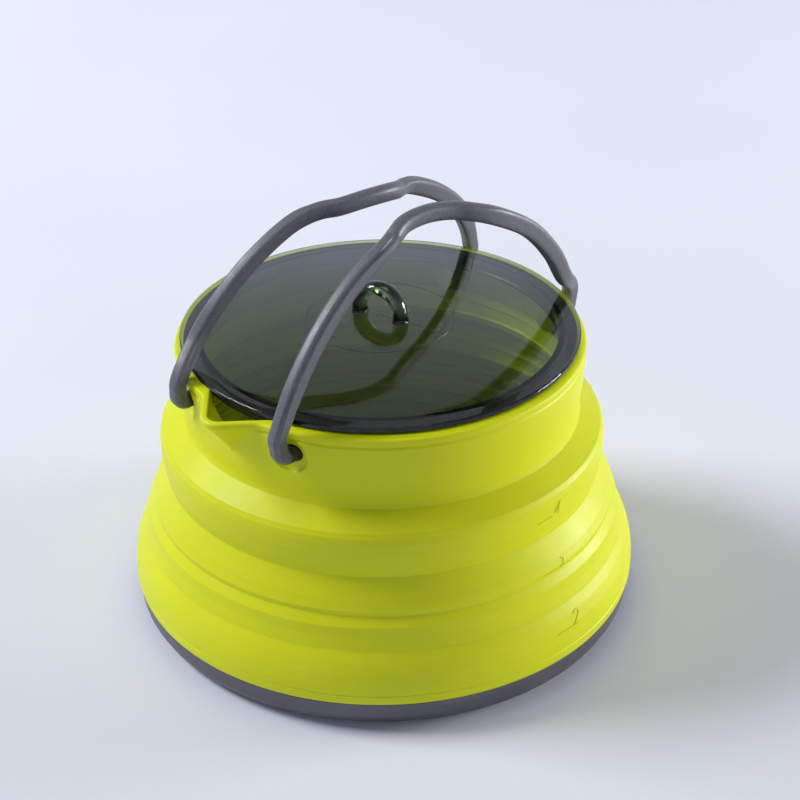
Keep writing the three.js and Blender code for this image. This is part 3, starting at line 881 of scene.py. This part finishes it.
def bail_section(point, from_end, pins, angle):
    """Round pins, flat grooved legs, and a smooth grip that starts with a step after a narrow neck."""
    form = BAIL_FORM
    across, height = point[0], point[1]
    grown = clamped((from_end - pins) / form["grow_rows"])
    tip = BAIL["tip_share"] if from_end == 0 else 1
    begun = clamped((form["grip_start"] - across) / form["step_over"])
    grip = clamped((across + form["grip_end"]) / form["fade_over"]) * begun
    neck = (1 - begun) * math.exp(-(max(across - form["neck_at"], 0) / form["neck_over"]) ** 2)
    low = 1 - clamped((height - form["slim_top"]) / form["slim_over"])
    half = BAIL["half"] * (1 - (1 - form["slim_share"]) * low) * (1 - form["neck_share"] * neck)
    flat = BAIL["flat"] * (1 + form["grip_share"] * grip)
    wide = tip * (BAIL["pin"] + (half - BAIL["pin"]) * grown)
    thick = tip * (BAIL["pin"] + (flat - BAIL["pin"]) * grown)
    leg = grown * (1 - grip)
    power = form["round_power"] + form["leg_power"] * leg + form["grip_power"] * grip
    c, s = math.cos(angle), math.sin(angle)
    reach = 1 / (abs(c) ** power + abs(s) ** power) ** (1 / power)
    a, b = wide * reach * c, thick * reach * s
    outer = 1 if across > 0 else -1
    if b * outer < 0:
        b += outer * leg * leg_relief(a * outer)
    return a, b


def make_bail(name, body, node_name, tilt, half_turn, mat):
    path, pins = bail_path()
    last = len(path) - 1

    def section(i, angle):
        return bail_section(path[i], min(i, last - i), pins, angle)

    verts, faces = swept(path, np.array([0, 0, 1.0]), section, BAIL_SIDES)
    c, s = math.cos(math.radians(tilt)), math.sin(math.radians(tilt))
    y = EYE["across"] + verts[:, 1] * c - verts[:, 2] * s
    z = EYE["height"] + verts[:, 1] * s + verts[:, 2] * c
    placed = np.c_[verts[:, 0], y, z]
    if half_turn:
        placed[:, :2] *= -1
    obj = new_mesh(name, placed, faces)
    sharpen(obj, CRISP["bail"])
    use(obj, mat)
    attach(obj, body)
    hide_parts(node_name)


# Level marks

def stroke_line(points):
    """A stroke cut into short steps, so that it follows the wall."""
    line = np.array(points, float)
    fine = [line[0]]
    for point in line[1:]:
        count = max(1, int(np.linalg.norm(point - fine[-1]) / MARK["spacing"]))
        fine += split(fine[-1], point, count)
    return np.array(fine)


def stroke_bar(points, outside):
    """A raised bar on the wall through points given as (length round the wall, height)."""
    line = stroke_line(points)
    half = MARK["stroke"] / 2
    verts = []
    for p, t in zip(line, directions(line)):
        side = np.array([-t[1], t[0]]) * half
        top = side * MARK["top_share"]
        for q, lift in ((p - side, -MARK["sunk"]), (p - top, MARK["raised"]), (p + top, MARK["raised"]),
                        (p + side, -MARK["sunk"])):
            radius = float(np.interp(q[1], outside[:, 1], outside[:, 0]))
            turn = math.radians(MARK["start"]) + q[0] / radius
            verts.append(((radius + lift) * math.cos(turn), (radius + lift) * math.sin(turn), q[1]))
    return verts, bar_faces(len(line), 4)


def make_marks(mat):
    outside = rounded(WALL)
    left = MARK["line"] + MARK["gap"]
    for number, body, height, tall in MARKS:
        wide = tall * MARK["width_share"]
        slant = tall * MARK["slant_share"]
        strokes = [[(0, height), (MARK["line"], height)]]
        for glyph in NUMBER_SHARES[number]:
            strokes.append([(left + x * wide + y * slant, height + y * tall) for x, y in glyph])
        obj = new_mesh("level_mark_" + number, *joined(stroke_bar(stroke, outside) for stroke in strokes))
        sharpen(obj, CRISP["mark"])
        use(obj, mat)
        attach(obj, body)


# Studio

def camera_ahead():
    """The camera's direction along the floor."""
    return Vector(CAMERA["forward"][:2]).normalized()


def make_floor():
    """A large sheet of pale paper, with painted light: a little paler away from the camera and darker near
    it.
    """
    bpy.ops.mesh.primitive_plane_add(size=PAPER["size"], location=(0, 0, -PAPER["drop"]))
    floor = bpy.context.object
    floor.name = "floor"
    mat, tree, bsdf = material("floor_paper")
    mix, near, far, mixed = colour_mix(tree)
    patched(tree, PAPER_NEAR_SHADED, near)
    patched(tree, PAPER_FAR_LIT, far)
    place = node(tree, "ShaderNodeTexCoord")
    along = node(tree, "ShaderNodeVectorMath", {1: (*camera_ahead(), 0)}, operation="DOT_PRODUCT")
    spread = node(tree, "ShaderNodeMapRange", {"From Min": PAPER["near"], "From Max": PAPER["far"]})
    tree.links.new(place.outputs["Object"], along.inputs[0])
    tree.links.new(along.outputs["Value"], spread.inputs["Value"])
    tree.links.new(spread.outputs["Result"], mix.inputs["Factor"])
    tree.links.new(mixed, bsdf.inputs["Base Color"])
    bsdf.inputs["Roughness"].default_value = PAPER["rough"]
    bsdf.inputs["Specular IOR Level"].default_value = PAPER["gloss"]
    floor.data.materials.append(mat)


def make_lamp(name, seen, size, power, colour):
    """A soft box, placed as seen from the camera, that shines on the kettle."""
    right, forward, up = seen
    ahead = camera_ahead()
    side = Vector((ahead[1], -ahead[0]))
    place = Vector((*(side * right + ahead * forward), up))
    data = bpy.data.lights.new(name, "AREA")
    data.shape = "RECTANGLE"
    data.size, data.size_y = size
    data.energy = power
    data.color = colour
    lamp = bpy.data.objects.new(name, data)
    bpy.context.scene.collection.objects.link(lamp)
    lamp.location = place
    lamp.rotation_mode = "QUATERNION"
    lamp.rotation_quaternion = (Vector(LAMPS_AIM) - place).to_track_quat("-Z", "Y")


def make_sky():
    """A pale sweep with a dim top. Gloss and glass show the sweep in full."""
    world = bpy.data.worlds.new("studio")
    bpy.context.scene.world = world
    world.use_nodes = True
    tree = world.node_tree
    background = tree.nodes["Background"]
    background.inputs["Color"].default_value = srgb(SKY_COLOUR)
    place = node(tree, "ShaderNodeTexCoord")
    split_place = node(tree, "ShaderNodeSeparateXYZ")
    rays = node(tree, "ShaderNodeLightPath")
    either = node(tree, "ShaderNodeMix", data_type="FLOAT")
    tree.links.new(place.outputs["Generated"], split_place.inputs["Vector"])
    for socket, strengths in (("A", SKY_LIT), ("B", SKY_MIRRORED)):
        spread = node(tree, "ShaderNodeMapRange", strengths)
        tree.links.new(split_place.outputs["Z"], spread.inputs["Value"])
        tree.links.new(spread.outputs["Result"], either.inputs[socket])
    tree.links.new(rays.outputs["Is Glossy Ray"], either.inputs["Factor"])
    tree.links.new(either.outputs["Result"], background.inputs["Strength"])


def make_camera():
    data = bpy.data.cameras.new("camera")
    data.sensor_width = CAMERA["sensor"]
    data.lens = CAMERA["lens"]
    data.clip_start, data.clip_end = CAMERA["clip"]
    camera = bpy.data.objects.new("camera", data)
    bpy.context.scene.collection.objects.link(camera)
    forward = Vector(CAMERA["forward"])
    right = forward.cross(Vector(CAMERA["up"])).normalized()
    up = right.cross(forward).normalized()
    turn = Matrix((right, up, -forward)).transposed().to_4x4()
    camera.matrix_world = Matrix.Translation(Vector(CAMERA["at"]) * MM) @ turn
    bpy.context.scene.camera = camera


make_camera()
make_floor()
for lamp in LAMPS:
    make_lamp(*lamp)
make_sky()

lime = plain("silicone_lime", LIME)
grey = grey_nylon()
make_pan(plain("base_aluminium", ANODISED))
make_wall(lime)
make_collar(lime)
make_lid(smoked())
make_lid_lines(plain("lid_engraving_shade", ENGRAVED_LINE_SHADE))
make_seal(plain("seal_rubber", RUBBER))
make_marks(lime)
make_bail("bail_left", "left_handle", "left_bail", BAIL["left_tilt"], False, grey)
make_bail("bail_right", "right_handle", "right_bail", BAIL["right_tilt"], True, grey)

# The stiff ring inside the rim stays as it comes and takes a lime darker than the wall's.
rim_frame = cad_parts["rim_frame"]
rim_frame.data.materials.clear()
rim_frame.data.materials.append(plain("frame_nylon", RIM_LIME))

bpy.context.scene.view_settings.view_transform = "Standard"
